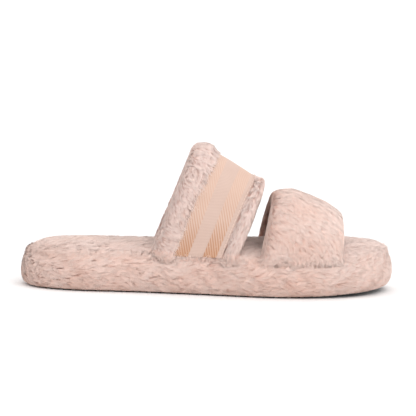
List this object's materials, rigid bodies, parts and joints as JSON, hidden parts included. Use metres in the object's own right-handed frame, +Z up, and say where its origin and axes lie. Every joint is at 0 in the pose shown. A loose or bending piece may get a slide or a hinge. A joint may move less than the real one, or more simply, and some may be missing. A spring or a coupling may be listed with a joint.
{
  "type": "fluffy house slipper",
  "caption": "Open-toe, open-back house slipper: a fur-covered platform with a plain fur toe strap and a fur instep strap that carries a woven tape.",
  "frame": {"origin": "on the ground under the middle of the slipper's bounding box", "axes": "+X to the toe, +Z up, -Y to the outer side of the foot"},
  "size_m": [0.268, 0.108, 0.1044],
  "materials": {
    "outsole_rubber": "matte moulded rubber",
    "filler_felt": "pressed felt",
    "eva_foam": "closed-cell foam",
    "board": "fibre board",
    "soft_foam": "open-cell foam",
    "platform_fur": "faux fur, blush pink, pile lying along the side",
    "footbed_fur": "faux fur, blush pink, short pile",
    "strap_fur": "faux fur, blush pink, soft pile",
    "lining": "brushed knit lining",
    "woven_tape": "woven tape, peach twill bands and plain pink bands",
    "thread": "matte sewing thread"
  },
  "bodies": {
    "root": {"outsole": "outsole_rubber", "bottom_filler": "filler_felt", "midsole": "eva_foam", "insole_board": "board", "footbed_foam": "soft_foam", "side_wrap": "platform_fur", "footbed_sock": "footbed_fur", "rear_strap_lining": "lining", "rear_strap_foam": "soft_foam", "rear_strap_fur": "strap_fur", "strap_tape": "woven_tape", "tape_stitch_rear": "thread", "tape_stitch_front": "thread", "front_strap_lining": "lining", "front_strap_foam": "soft_foam", "front_strap_fur": "strap_fur"}
  },
  "joints": []
}
